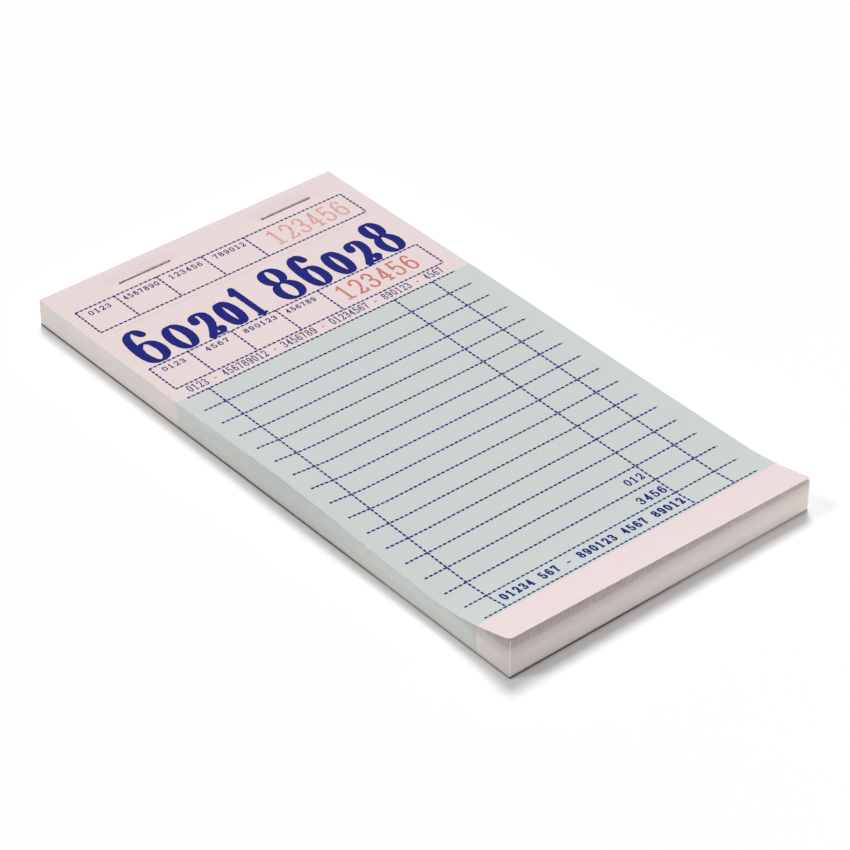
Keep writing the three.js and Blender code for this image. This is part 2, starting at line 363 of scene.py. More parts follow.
def tint(tree, along, up, is_edge):
    below_head = ramp(tree, along, TINT_HEAD_END + SOFT_BORDER / 2, -SOFT_BORDER)
    above_foot = ramp(tree, along, TINT_FOOT_END - SOFT_BORDER / 2, SOFT_BORDER)
    green_part = product(tree, below_head, above_foot)
    face = mix_colors(tree, green_part, PINK, GREEN)
    edge = mix_colors(tree, green_part, EDGE_PINK, EDGE_GREEN)
    is_back = reckon(tree, "LESS_THAN", up, -0.5)
    face = mix_colors(tree, product(tree, is_back, BARE_SHARE), face, BARE_PAPER)
    return mix_colors(tree, is_edge, face, edge)


print("green from", round(TINT_FOOT_END, 1), "to", round(TINT_HEAD_END, 1), "mm")

# %% [markdown]
# ## Marks and painted shade on the cut edges
#
# Where many cut edges lie on one another, each sheet is a touch lighter or darker than the next,
# which gives the sides of the pad their faint streaks. Noise that changes quickly with height
# and slowly along the pad makes them. The blade that trimmed the pad left fine upright ticks.
# Where the fan opens at the foot, the gaps between the upper sheets lie in shade, and that shade
# is painted: the edges there are darker, the ticks deeper, and a row of evenly spaced dark dashes
# is added. Cutting gaps and ticks into every sheet would cost far too many faces, so they are
# shades.

# %% Streaks, ticks and the painted shade of the fan
STREAK_DEPTH = 0.3
TICK_DEPTH, FAN_SHADE_TICK_DEPTH = 0.05, 0.8
GAP_SHADE_STEP, GAP_SHADE_DEPTH = 0.8, 0.2
FAN_SHADE = 0.24
FAN_HEIGHT, FAN_HEIGHT_BAND = 7.7143, 0.2857
FAN_BORDER, FAN_BORDER_BAND = FOOT + 11, 4


def edge_marks_and_gap_shade(tree, where, x, y, z):
    """What the marks and the fan's painted shade add to the shade of a cut edge, at each place.
    """
    streaks = noise(tree, stretched(tree, where, 12, 12, 4200), 1.0, detail=2)
    ticks = noise(tree, stretched(tree, where, 1900, 1900, 1100), 1.0, detail=1)
    fan = product(tree, ramp(tree, z, FAN_HEIGHT, FAN_HEIGHT_BAND),
                  ramp(tree, y, FAN_BORDER, -FAN_BORDER_BAND))
    # In the fan the ticks are deepened, as painted shade of the gaps between the sheets.
    tick_depth = reckon(tree, "MULTIPLY_ADD", fan, FAN_SHADE_TICK_DEPTH, TICK_DEPTH)
    ticks = product(tree, reckon(tree, "SUBTRACT", ticks, 0.5), tick_depth)
    # Evenly spaced dark dashes in the fan: painted shade of the gaps between the sheets.
    waves = product(tree, reckon(tree, "ADD", x, y), 2 * math.pi / (GAP_SHADE_STEP * MM))
    gap_shade_dashes = product(tree, reckon(tree, "SINE", waves), fan, GAP_SHADE_DEPTH)
    streaks = reckon(tree, "MULTIPLY_ADD", streaks, STREAK_DEPTH, -STREAK_DEPTH / 2)
    marks_and_shade = reckon(tree, "ADD", streaks, ticks)
    # Painted shade: the fanned edges are darker, for the gaps between them.
    marks_and_shade = reckon(tree, "MULTIPLY_ADD", fan, -FAN_SHADE, marks_and_shade)
    return reckon(tree, "ADD", marks_and_shade, gap_shade_dashes)


print("nicks across the foot:", round(WIDTH / GAP_SHADE_STEP))

# %% [markdown]
# ## The perforation and the painted highlight on the corners
#
# The perforation is a row of slits, too fine to be worth cutting into every sheet, so the shade
# in them is painted on the paper as short dark dashes. At the foot corners the upright edges of
# the sheets get a painted highlight.

# %% Perforation and corners
SLIT_STEP, SLIT_SHARE, SLIT_HALF, SLIT_SHADE = 1.6, 0.75, 0.07, 0.25
CORNER_HIGHLIGHT, HIGHLIGHT_REACH, HIGHLIGHT_SHARE = screen(250, 246, 244), 0.3, 0.85


# The shade in the slits is painted: short dark dashes across the paper.
def perforation_shade(tree, x, y, is_edge):
    from_line = reckon(tree, "SUBTRACT", y, (CHECK_HEAD + GAP / 2) * MM)
    on_line = reckon(tree, "LESS_THAN", reckon(tree, "ABSOLUTE", from_line), SLIT_HALF * MM)
    beat = reckon(tree, "FRACT", product(tree, x, 1 / (SLIT_STEP * MM)))
    on_slit = reckon(tree, "LESS_THAN", beat, SLIT_SHARE)
    is_face = reckon(tree, "SUBTRACT", 1.0, is_edge)
    slit = product(tree, on_line, on_slit, is_face)
    return reckon(tree, "MULTIPLY_ADD", slit, -SLIT_SHADE, 1.0)


# Painted highlight: the upright foot corners of the sheets are lightened.
def corner_highlight(tree, x, y):
    from_middle = reckon(tree, "ABSOLUTE", x)
    at_side = reckon(tree, "GREATER_THAN", from_middle, (WIDTH / 2 - HIGHLIGHT_REACH) * MM)
    at_foot = reckon(tree, "LESS_THAN", y, (FOOT + HIGHLIGHT_REACH) * MM)
    return product(tree, at_side, at_foot, HIGHLIGHT_SHARE)


print("slits across a sheet:", round(WIDTH / SLIT_STEP))

# %% Material: tinted paper
def paper_material():
    material, tree, paper = new_material("tinted_paper")
    where = place_of(tree)
    x, y, z = parts_of(tree, where)
    up = facing_of(tree)["Z"]
    is_edge = reckon(tree, "LESS_THAN", reckon(tree, "ABSOLUTE", up), 0.5)
    fibres = fibres_of(tree, where, 0.03)
    marks_and_shade = edge_marks_and_gap_shade(tree, where, x, y, z)
    edge_shade = reckon(tree, "MULTIPLY_ADD", marks_and_shade, is_edge, 1.0)
    shade = product(tree, fibres["Shade"], edge_shade, perforation_shade(tree, x, y, is_edge))
    color = darkened(tree, tint(tree, y, up, is_edge), shade)
    # A painted highlight on the foot corners.
    color = mix_colors(tree, corner_highlight(tree, x, y), color, CORNER_HIGHLIGHT)
    tree.links.new(color, paper.inputs["Base Color"])
    paper.inputs["Roughness"].default_value = 0.82
    paper.inputs["Specular IOR Level"].default_value = 0.25
    add_bump(tree, paper, fibres["Height"], **TOOTH)
    return material


TINTED_PAPER = paper_material()
print("material", TINTED_PAPER.name, "with", len(TINTED_PAPER.node_tree.nodes), "nodes")

# %% [markdown]
# ## The sheets
#
# A sheet is a thin closed skin over a grid: an upper layer, a lower layer and a rim. Building it
# by hand, and not by thickening a plane, keeps the same air under every sheet and lets the rows
# crowd together where the paper curls. Handling has rounded the foot corners of the top sheet,
# and those of the sheets below it less and less, so the first rows are a little narrower.

# %% Meshes
SHARP_ANGLE = math.radians(35)


def add_mesh(name, vertices, faces, material, flat=False):
    mesh = bpy.data.meshes.new(name)
    mesh.from_pydata([(x * MM, y * MM, z * MM) for x, y, z in vertices], [], faces)
    mesh.validate()
    mesh.materials.append(material)
    if not flat:
        mesh.shade_smooth()
        mesh.set_sharp_from_angle(angle=SHARP_ANGLE)
    made = bpy.data.objects.new(name, mesh)
    scene.collection.objects.link(made)
    return made


def rim_of(rows, columns):
    """The vertices round a grid, with so many faces across, in one loop."""
    across = columns + 1
    rim = list(range(columns))
    rim += [row * across + columns for row in range(rows - 1)]
    rim += [(rows - 1) * across + column for column in range(columns, 0, -1)]
    rim += [row * across for row in range(rows - 1, 0, -1)]
    return rim


print("rim of a grid of 2 by 2 faces:", rim_of(3, 2))

# %% A closed sheet from rows of a grid
def sheet_skin(rows, shares, low, high):
    """Vertices and faces of a closed sheet. rows are (y, half width) from foot to head, and
    shares say how far across each column lies, from 0 to 1."""
    vertices = []
    for height in (low, high):
        for y, half in rows:
            for share in shares:
                x = -half + 2 * half * share
                vertices.append((x, y, height(x, y)))
    across = len(shares)
    layer = across * len(rows)
    faces = []
    for row in range(len(rows) - 1):
        for column in range(across - 1):
            a = row * across + column
            b, c, d = a + 1, a + 1 + across, a + across
            faces.append((a, d, c, b))
            faces.append((a + layer, b + layer, c + layer, d + layer))
    rim = rim_of(len(rows), across - 1)
    for a, b in zip(rim, rim[1:] + rim[:1]):
        faces.append((a, b, b + layer, a + layer))
    return vertices, faces


plain_sheet = sheet_skin([(0, 1), (2, 1)], [0, 1], lambda x, y: 0, lambda x, y: 0.1)
print("corners and faces of the plainest sheet:", [len(part) for part in plain_sheet])

# %% The grid of a check
CORNER, ROUNDING_KEPT, LEAST_ROUNDING = 1.2, 0.6, 0.1
CORNER_STEPS = 5
CHECK_STEPS, CROWDING = 54, 1.5
COLUMNS = [x / WIDTH for x in (0, 2, 4, 6, 8, 10, 12, 14, 16, 20, 30, 40, 50, 58, 62, 66, 70, 74,
                               78, 82, 85, WIDTH)]


def check_rows(number):
    rounding = CORNER * max(LEAST_ROUNDING, ROUNDING_KEPT ** (number - 1))
    rows = []
    for step in range(CORNER_STEPS + 1):
        angle = math.pi / 2 * step / CORNER_STEPS
        rows.append((FOOT + CORNER * (1 - math.cos(angle)),
                     WIDTH / 2 - rounding * (1 - math.sin(angle))))
    for step in range(1, CHECK_STEPS + 1):
        share = (step / CHECK_STEPS) ** CROWDING
        rows.append((FOOT + CORNER + (CHECK_LENGTH - CORNER) * share, WIDTH / 2))
    return rows


print("rows of a check:", len(check_rows(1)), "columns:", len(COLUMNS) - 1)

# %% [markdown]
# ## Fifty checks
#
# Each check rides on its own body, so that it turns on its perforation by itself. Copies of one
# sheet wouldn't do, because each has its own curl. A sheet is drawn as thick as the room under
# the next one allows, up to a little more than its real thickness: the pad then reads as one
# pale block where it is pressed together and as single edges where it fans open. Here and there
# a foot edge stands back by a hair.

# %% The checks
ROOM_FILLED, THICKEST = 0.97, 0.12
RAGGED, RAGGED_PACE = 0.12, 2.4
RAGGED_MOST = 0.8


def top_side(height, x, y, below):
    """Height of a sheet's upper side, from a function for the height of its underside."""
    low = height(x, y, below)
    if below == SHEETS - 1:
        return low + PAPER
    room = height(x, y, below + 1) - low
    return low + min(ROOM_FILLED * room, THICKEST)


sheet_top = partial(top_side, sheet_height)


def with_ragged_foot(rows, number):
    back = RAGGED * (0.5 + 0.5 * math.sin(RAGGED_PACE * (number - 1)))
    (first, half), (second, _) = rows[:2]
    return [(first + min(back, RAGGED_MOST * (second - first)), half), *rows[1:]]


def add_check(number):
    below = SHEETS - number
    rows = with_ragged_foot(check_rows(number), number)
    vertices, faces = sheet_skin(rows, COLUMNS, partial(sheet_height, below=below),
                                 partial(sheet_top, below=below))
    check = add_mesh(f"check_sheet_{number:02d}", vertices, faces, TINTED_PAPER)
    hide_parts(f"check_{number:02d}")
    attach(check, f"check_{number:02d}")
    return check


checks = [add_check(number) for number in range(1, SHEETS + 1)]
print("checks:", len(checks), "faces on the top one:", len(checks[0].data.polygons))

# %% [markdown]
# ## The stubs
#
# Above the perforation the sheets stay put. They are drawn as sheets too, so that the side of the
# pad looks the same from head to foot. A staple's crown is driven into the paper: the top stub
# sinks under it and creases at both ends of the crown, and the ten stubs below take up what is
# left of the dent. A bump map could shade the dent, but only real depth lets the crown sink in.

# %% Dents and creases
WIRE = 0.45
CROWN_HALF, CROWN_Y = 7.5, HEAD - 6.3
STAPLE_MIDDLES = {"staple_left": -WIDTH / 2 + 26.6, "staple_right": WIDTH / 2 - 18.8}
DENT, DENT_REACH, DENTED = 0.25, 3.6, 11
CREASES = ((-1, 0.3, 9, 0.17), (1, -0.3, 6, 0.12))  # side, slant, length, depth
CREASE_WIDTH, CREASE_START = 1.5, 1.5


def crease_depth(from_middle, from_crown):
    depth = 0
    for side, slant, length, most in CREASES:
        out = side * from_middle - CROWN_HALF
        off_line = from_crown - slant * out
        window = smooth(out, -CREASE_START, CREASE_START)
        window *= 1 - smooth(out, CREASE_START, length)
        depth += most * window * math.exp(-((off_line / CREASE_WIDTH) ** 2))
    return depth


def dent_depth(x, y):
    depth = 0
    for middle in STAPLE_MIDDLES.values():
        depth += crease_depth(x - middle, y - CROWN_Y)
        along = max(0, abs(x - middle) - CROWN_HALF - WIRE)
        across = max(0, abs(y - CROWN_Y) - WIRE)
        depth += DENT * (1 - smooth(math.hypot(along, across), 0, DENT_REACH))
    return depth


for name, middle in STAPLE_MIDDLES.items():
    print(name, "sinks", round(dent_depth(middle, CROWN_Y), 3), "mm into the paper")

# %% The stubs
SEEN_GAP = 0.012


def stub_height(x, y, below):
    share = max(0, below - (SHEETS - 1 - DENTED)) / DENTED
    return BOARD + (below + 1) * HEAD_AIR + below * PAPER - share * dent_depth(x, y)


stub_top = partial(top_side, stub_height)


def add_stubs(name, numbers, node_name, row_steps, column_steps):
    start = CHECK_HEAD + SEEN_GAP
    rows = [(start + (HEAD - start) * step / row_steps, WIDTH / 2)
            for step in range(row_steps + 1)]
    columns = [step / column_steps for step in range(column_steps + 1)]
    vertices, faces = [], []
    for number in numbers:
        below = SHEETS - number
        more, its_faces = sheet_skin(rows, columns, partial(stub_height, below=below),
                                     partial(stub_top, below=below))
        faces += [tuple(index + len(vertices) for index in face) for face in its_faces]
        vertices += more
    stubs = add_mesh(name, vertices, faces, TINTED_PAPER)
    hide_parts(node_name)
    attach(stubs, "stapled_head")
    return stubs


top_stub = add_stubs("stub_sheet_01", [1], "stub_01", 56, 200)
add_stubs("stub_sheets_02_11", range(2, 12), "stubs_02_11", 22, 84)
for first in (12, 22, 32, 42):
    last = min(first + 9, SHEETS)
    label = f"{first:02d}_{last:02d}"
    add_stubs(f"stub_sheets_{label}", range(first, last + 1), f"stubs_{label}", 1, 1)
print("faces on the top stub:", len(top_stub.data.polygons))

# %% [markdown]
# ## The back
#
# The back is grey-brown chipboard, pressed from recycled pulp: dull, a little mottled, with
# darker and lighter flecks in it. It is lined with paler pulp on the side of the sheets. Below
# that, on the cut edge, the board's brown is darkened by painted shade: brown on the sides and
# almost black at the foot, which faces away from the light, so it draws a thin dark line round
# the pad. That painted line turns pale towards the foot end of the left side and towards the
# right end of the foot. The board's shape is right as it is, so only its material changes.

# %% Pulp and cut edges of the board
PULP_DARK, PULP_LIGHT = screen(128, 106, 84), screen(158, 136, 110)
DARK_FLECK, PALE_FLECK = screen(84, 68, 54), screen(182, 166, 142)
SHADED_CUT_FOOT, SHADED_CUT_SIDE, PALE_PULP = screen(26, 20, 16), screen(84, 66, 42), screen(176, 164, 154)
FOOT_PALE_START, FOOT_PALE_BAND = -8.75, 25
SIDE_PALE_START, SIDE_PALE_BAND = -28, 20
LINING_FROM = 0.4


def pulp_color(tree, where, flecks):
    mottle = noise(tree, where, 260, detail=4, roughness=0.6)
    color = mix_colors(tree, mottle, PULP_DARK, PULP_LIGHT)
    is_dark = reckon(tree, "GREATER_THAN", flecks, 0.64)
    color = mix_colors(tree, product(tree, is_dark, 0.6), color, DARK_FLECK)
    is_pale = reckon(tree, "LESS_THAN", flecks, 0.37)
    return mix_colors(tree, product(tree, is_pale, 0.5), color, PALE_FLECK)


# The cut edge in painted shade: dark brown on the sides, almost black at the foot, and paler
# towards the foot end of the left side and the right end of the foot.
def shaded_cut_color(tree, x, y, facing):
    at_side = reckon(tree, "GREATER_THAN", reckon(tree, "ABSOLUTE", facing["X"]), 0.5)
    cut = mix_colors(tree, at_side, SHADED_CUT_FOOT, SHADED_CUT_SIDE)
    pale_at_foot = ramp(tree, x, FOOT_PALE_START, FOOT_PALE_BAND)
    pale_at_side = ramp(tree, y, SIDE_PALE_START, -SIDE_PALE_BAND)
    fades_pale = mix_colors(tree, at_side, pale_at_foot, pale_at_side)
    return mix_colors(tree, product(tree, fades_pale, 0.9), cut, PALE_PULP)


print("the lining is the top", round(BOARD - LINING_FROM, 2), "mm of the board")

# %% Material: chipboard
def chipboard_material():
    material, tree, board = new_material("chipboard")
    where = place_of(tree)
    x, y, z = parts_of(tree, where)
    facing = facing_of(tree)
    flecks = noise(tree, stretched(tree, where, 1, 0.4, 1), 1900, detail=2)
    is_edge = reckon(tree, "LESS_THAN", reckon(tree, "ABSOLUTE", facing["Z"]), 0.5)
    color = mix_colors(tree, product(tree, is_edge, 0.9), pulp_color(tree, where, flecks),
                       shaded_cut_color(tree, x, y, facing))
    lined = reckon(tree, "GREATER_THAN", z, LINING_FROM * MM)
    color = mix_colors(tree, product(tree, lined, 0.8), color, PALE_PULP)
    tree.links.new(color, board.inputs["Base Color"])
    board.inputs["Roughness"].default_value = 0.9
    add_bump(tree, board, flecks, 0.25, 0.05)
    return material


def dress(node_name, material):
    """Gives a solid of the frame another material."""
    solid = bpy.data.objects[node_name]
    solid.data.materials.clear()
    solid.data.materials.append(material)


dress("backing_board", chipboard_material())

# %% [markdown]
# ## The staples
#
# A staple is one round wire: a straight crown, two tight bends down, two legs through the pad and
# two more bends that fold the ends inwards under the back. A curve with a round bevel would look
# much the same, but a tube swept ring by ring keeps its bends as tight as they are. The wire is
# zinc-coated steel, greyish and not very shiny, with fine lines along it from drawing.

# %% Material: staple wire
def wire_material():
    material, tree, steel = new_material("staple_wire")
    where = place_of(tree)
    lines = noise(tree, stretched(tree, where, 0.05, 1, 1), 9000, detail=2)
    patches = noise(tree, where, 900, detail=2)
    color = mix_colors(tree, patches, screen(122, 122, 124), screen(160, 160, 162))
    tree.links.new(color, steel.inputs["Base Color"])
    tree.links.new(reckon(tree, "MULTIPLY_ADD", lines, 0.2, 0.26), steel.inputs["Roughness"])
    steel.inputs["Metallic"].default_value = 1.0
    add_bump(tree, steel, lines, 0.15, 0.01)
    return material


STAPLE_WIRE = wire_material()
print("material", STAPLE_WIRE.name, "with", len(STAPLE_WIRE.node_tree.nodes), "nodes")

# %% The line of a staple
WIRE_BEND, BEND_STEPS = 0.3, 8
CLINCH = 5.5
CROWN_AIR = 0.02
CROWN_Z = HEAD_HEIGHT - DENT + CROWN_AIR + WIRE / 2


def staple_line():
    """Points along the wire, with the direction of the wire at each, as angles in degrees."""
    low = WIRE / 2
    reach = CROWN_HALF - WIRE_BEND
    line = [(CROWN_HALF - CLINCH, low, 0)]
    bends = ((reach, low + WIRE_BEND, -90), (reach, CROWN_Z - WIRE_BEND, 0),
             (-reach, CROWN_Z - WIRE_BEND, 90), (-reach, low + WIRE_BEND, 180))
    for x, z, start in bends:
        for step in range(BEND_STEPS + 1):
            degrees = start + 90 * step / BEND_STEPS
            angle = math.radians(degrees)
            line.append((x + WIRE_BEND * math.cos(angle), z + WIRE_BEND * math.sin(angle),
                         degrees + 90))
    line.append((-CROWN_HALF + CLINCH, low, 360))
    return line


print("points along the wire:", len(staple_line()))

# %% The two staples
WIRE_SIDES = 20


def wire_rings(middle):
    """A ring of vertices round the wire at each point of its line."""
    vertices = []
    for x, z, degrees in staple_line():
        heading = math.radians(degrees)
        for side in range(WIRE_SIDES):
            turn = 2 * math.pi * side / WIRE_SIDES
            out, across = WIRE / 2 * math.cos(turn), WIRE / 2 * math.sin(turn)
            vertices.append((middle + x + out * math.sin(heading), CROWN_Y + across,
                             z - out * math.cos(heading)))
    return vertices


def add_staple(name, middle):
    vertices, faces = wire_rings(middle), []
    for ring in range(0, len(vertices) - WIRE_SIDES, WIRE_SIDES):
        for side in range(WIRE_SIDES):
            a, b = ring + side, ring + (side + 1) % WIRE_SIDES
            faces.append((a, b, b + WIRE_SIDES, a + WIRE_SIDES))
    faces.append(tuple(reversed(range(WIRE_SIDES))))
    faces.append(tuple(range(len(vertices) - WIRE_SIDES, len(vertices))))
    staple = add_mesh(f"{name}_wire", vertices, faces, STAPLE_WIRE)
    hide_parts(name)
    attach(staple, "stapled_head")
    return staple


for name, middle in STAPLE_MIDDLES.items():
    add_staple(name, middle)
print("staples at x", STAPLE_MIDDLES, "crown top at", round(CROWN_Z + WIRE / 2, 3))

# %% [markdown]
# ## Ink
#
# The forms are printed in one dark blue, and each sheet gets a number stamped in red. Ink on
# uncoated paper is matt, follows the paper's tooth, and isn't quite even: the stamped red is the
# patchiest, and lets the paper through. The print could be a picture on the paper, but thin
# layers of mesh that lie on the sheets stay sharp from any distance.

# %% Materials: ink
def ink_material(name, full, worn, patchiness, patch_scale):
    material, tree, ink = new_material(name)
    where = place_of(tree)
    fibres = fibres_of(tree, where, 0.12)
    patches = noise(tree, where, patch_scale, detail=3, roughness=0.6)
    wear = reckon(tree, "MULTIPLY_ADD", reckon(tree, "SUBTRACT", patches, 0.5),
                  patchiness * 5, patchiness, clamp=True)
    color = darkened(tree, mix_colors(tree, wear, full, worn), fibres["Shade"])
    tree.links.new(color, ink.inputs["Base Color"])
    ink.inputs["Roughness"].default_value = 0.7
    ink.inputs["Specular IOR Level"].default_value = 0.12
    add_bump(tree, ink, fibres["Height"], **TOOTH)
    return material


BLUE_INK = ink_material("blue_ink", screen(12, 18, 112), screen(32, 38, 126), 0.2, 700)
RED_INK = ink_material("red_ink", screen(198, 92, 86), screen(220, 152, 147), 0.4, 900)
FAINT_RED_INK = ink_material("faint_red_ink", screen(212, 134, 130), screen(228, 184, 180),
                             0.5, 900)
print("inks:", BLUE_INK.name, RED_INK.name, FAINT_RED_INK.name)

# %% [markdown]
# ## Drawing numerals with a pen
#
# All numerals come from one set of strokes in a box one wide and one high. A font could be used
# as well, but then its weight is fixed. Here a heavy headline, a stamped number and small print
# differ only by the pen: how wide it is on upright strokes and how wide on level ones. A stroke
# is drawn as a chain of four-cornered pieces with a small wedge wherever it bends and a round dot
# at its ends and corners. A Delaunay triangulation then merges the pieces that overlap.

# %% Curves for the strokes
def through(*points, steps=7):
    """A smooth line through the points."""
    ends = [points[0], *points, points[-1]]
    line = []
    for before, start, end, after in zip(ends, ends[1:], ends[2:], ends[3:]):
        for step in range(steps):
            t = step / steps
            line.append(tuple(
                0.5 * (2 * b + (c - a) * t + (2 * a - 5 * b + 4 * c - d) * t**2
                       + (3 * b - a - 3 * c + d) * t**3)
                for a, b, c, d in zip(before, start, end, after)))
    return [*line, points[-1]]


def oval(x, y, wide, high, steps=36):
    return [(x + wide * math.sin(2 * math.pi * step / steps),
             y + high * math.cos(2 * math.pi * step / steps)) for step in range(steps + 1)]


print("points of a round stroke:", len(oval(0.5, 0.5, 0.5, 0.5)))

# %% Strokes of the numerals
SIX = through((0.9, 0.84), (0.74, 0.97), (0.5, 1), (0.16, 0.84), (0.02, 0.42), (0.14, 0.1),
              (0.5, 0), (0.87, 0.1), (0.98, 0.31), (0.86, 0.52), (0.52, 0.6), (0.16, 0.5),
              (0.03, 0.34))
STROKES = {
    "0": [oval(0.5, 0.5, 0.5, 0.5)],
    "1": [[(0.5, 0), (0.5, 1)], [(0.5, 1), (0.12, 0.84)], [(0.1, 0), (0.9, 0)]],
    "2": [through((0.06, 0.74), (0.16, 0.92), (0.5, 1), (0.86, 0.91), (0.94, 0.72), (0.8, 0.46),
                  (0.42, 0.2), (0.04, 0)), [(0.04, 0), (0.97, 0), (1, 0.14)]],
    "3": [through((0.05, 0.8), (0.2, 0.95), (0.5, 1), (0.84, 0.9), (0.9, 0.74), (0.76, 0.57),
                  (0.4, 0.52)),
          through((0.4, 0.52), (0.8, 0.46), (0.98, 0.26), (0.84, 0.07), (0.48, 0), (0.15, 0.05),
                  (0.02, 0.2))],
    "4": [[(0.7, 0), (0.7, 1)], [(0.7, 1), (0.02, 0.28)], [(0.02, 0.28), (1, 0.28)],
          [(0.45, 0), (0.95, 0)]],
    "5": [[(0.92, 1), (0.17, 1)], [(0.17, 1), (0.12, 0.52)],
          through((0.12, 0.52), (0.5, 0.62), (0.87, 0.53), (0.98, 0.3), (0.85, 0.08), (0.48, 0),
                  (0.13, 0.06), (0.02, 0.2))],
    "6": [SIX],
    "7": [[(0.02, 0.84), (0.04, 1), (0.97, 1)], through((0.97, 1), (0.62, 0.55), (0.4, 0))],
    "8": [oval(0.5, 0.765, 0.42, 0.235), oval(0.5, 0.265, 0.5, 0.265)],
    "9": [[(1 - x, 1 - y) for x, y in SIX]],
    "-": [[(0.15, 0.42), (0.85, 0.42)]],
}
print("numerals and signs:", " ".join(STROKES))

# %% From strokes to pieces of ink
PEN_TURN = 1.6
DOT_SIDES = 16
SHARP_TURN, NO_TURN = math.radians(35), 1e-6


def pen_width(dx, dy, pen):
    upright, level = pen
    length = math.hypot(dx, dy) or 1
    return level + (upright - level) * (abs(dy) / length) ** PEN_TURN


def dot(x, y, radius):
    turns = [2 * math.pi * side / DOT_SIDES for side in range(DOT_SIDES)]
    return [(x + radius * math.cos(turn), y + radius * math.sin(turn)) for turn in turns]


def bend_piece(x, y, width, before, after):
    """Fills the bend between two pieces. before and after point to the left of each, and are
    half a millimetre long."""
    turn = 4 * (before[0] * after[1] - before[1] * after[0])
    if 4 * (before[0] * after[0] + before[1] * after[1]) < math.cos(SHARP_TURN):
        return [dot(x, y, width / 2)]
    if abs(turn) < NO_TURN:
        return []
    first, second = (before, after) if turn > 0 else (after, before)
    side = -width if turn > 0 else width
    return [[(x, y), (x + side * first[0], y + side * first[1]),
             (x + side * second[0], y + side * second[1])]]


def stroke_pieces(line, pen):
    """Four-cornered pieces along a line, and what fills its bends and ends."""
    widths = []
    for index in range(len(line)):
        ahead, behind = line[min(index + 1, len(line) - 1)], line[max(index - 1, 0)]
        widths.append(pen_width(ahead[0] - behind[0], ahead[1] - behind[1], pen))
    pieces = [dot(*line[0], widths[0] / 2), dot(*line[-1], widths[-1] / 2)]
    lefts = []
    for (x0, y0), (x1, y1), w0, w1 in zip(line, line[1:], widths, widths[1:]):
        length = math.hypot(x1 - x0, y1 - y0)
        nx, ny = -(y1 - y0) / length / 2, (x1 - x0) / length / 2
        pieces.append([(x0 - nx * w0, y0 - ny * w0), (x1 - nx * w1, y1 - ny * w1),
                       (x1 + nx * w1, y1 + ny * w1), (x0 + nx * w0, y0 + ny * w0)])
        lefts.append((nx, ny))
    for point, width, before, after in zip(line[1:], widths[1:], lefts, lefts[1:]):
        pieces += bend_piece(*point, width, before, after)
    return pieces


print("pieces of a level stroke:", len(stroke_pieces([(0, 0), (1, 0)], (2.4, 0.7))))

# %% From pieces of ink to one layer
ONLY_INSIDE, MERGE_DISTANCE = 1, 1e-5


def merge(pieces):
    """One flat layer of triangles that covers all the pieces."""
    vertices = [Vector(corner) for piece in pieces for corner in piece]
    faces, first = [], 0
    for piece in pieces:
        faces.append(list(range(first, first + len(piece))))
        first += len(piece)
    flat, _, triangles, _, _, covered_by = delaunay_2d_cdt(
        vertices, [], faces, ONLY_INSIDE, MERGE_DISTANCE, True)
    inked = [tuple(face) for face, under in zip(triangles, covered_by) if under]
    return [tuple(point) for point in flat], inked


def numeral(sign, left, right, top, base, pen):
    """Triangles of one numeral whose ink fills the box from left to right and top to base."""
    upright, level = pen
    pieces = []
    for line in STROKES[sign]:
        placed = [(left + upright / 2 + x * (right - left - upright),
                   base + level / 2 + y * (top - base - level)) for x, y in line]
        pieces += stroke_pieces(placed, pen)
    return merge(pieces)


print("triangles of a heavy 2:", len(numeral("2", 0, 6, 10, 0, (2.4, 0.7))[1]))

# %% [markdown]
# ## What is printed where
#
# A printed form is ruled lines, boxes and small headings. One long drawing would be hard to
# change, so a sheet of ink collects them one by one. The layout is measured from the left edge
# and from the head edge of a sheet, as a printer would. A line is printed as a row of beads:
# short dashes joined by a hair of ink.

# %% A sheet of ink
RULE_WIDTH, BEAD = 0.52, 1.36
DASH_SHARE, HAIR_SHARE = 0.52, 0.3
INK_LIFT = 0.03


class Print:
    """Collects flat ink, and then lays it on a sheet."""

    def __init__(self):
        self.vertices = []
        self.faces = []

    def add(self, flat, faces):
        first = len(self.vertices)
        self.vertices += flat
        self.faces += [tuple(index + first for index in face) for face in faces]

    def line(self, x0, d0, x1, d1):
        x0, x1 = x0 - WIDTH / 2, x1 - WIDTH / 2
        y0, y1 = HEAD - d0, HEAD - d1
        length = math.hypot(x1 - x0, y1 - y0)
        ux, uy = (x1 - x0) / length, (y1 - y0) / length
        count = max(1, round(length / BEAD))
        dash, hair = (0, DASH_SHARE, RULE_WIDTH), (DASH_SHARE, 1, RULE_WIDTH * HAIR_SHARE)
        for index in range(count):
            for start, end, wide in (dash, hair):
                a, b = (index + start) * length / count, (index + end) * length / count
                corners = [(x0 + ux * s - uy * w, y0 + uy * s + ux * w)
                           for s, w in ((a, -wide / 2), (b, -wide / 2), (b, wide / 2),
                                        (a, wide / 2))]
                self.add(corners, [(0, 1, 2, 3)])

    def box(self, left, right, top, base):
        self.line(left, top, right, top)
        self.line(left, base, right, base)
        self.line(left, top, left, base)
        self.line(right, top, right, base)

    def sign(self, sign, left, right, top, base, pen):
        self.add(*numeral(sign, left - WIDTH / 2, right - WIDTH / 2, HEAD - top, HEAD - base,
                          pen))

    def text(self, text, left, right, top, base, pen, share=0.78):
        """A row of signs, each of which fills this share of its step."""
        step = (right - left) / (len(text) - 1 + share)
        for index, sign in enumerate(text):
            if sign != " ":
                start = left + index * step
                self.sign(sign, start, start + step * share, top, base, pen)

    def lay(self, name, height, material, body, slot):
        vertices = [(x, y, height(x, y) + INK_LIFT) for x, y in self.vertices]
        ink = add_mesh(name, vertices, self.faces, material, flat=True)
        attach(ink, body)
        return ink


print("beads in a rule across the sheet:", round(WIDTH / BEAD))

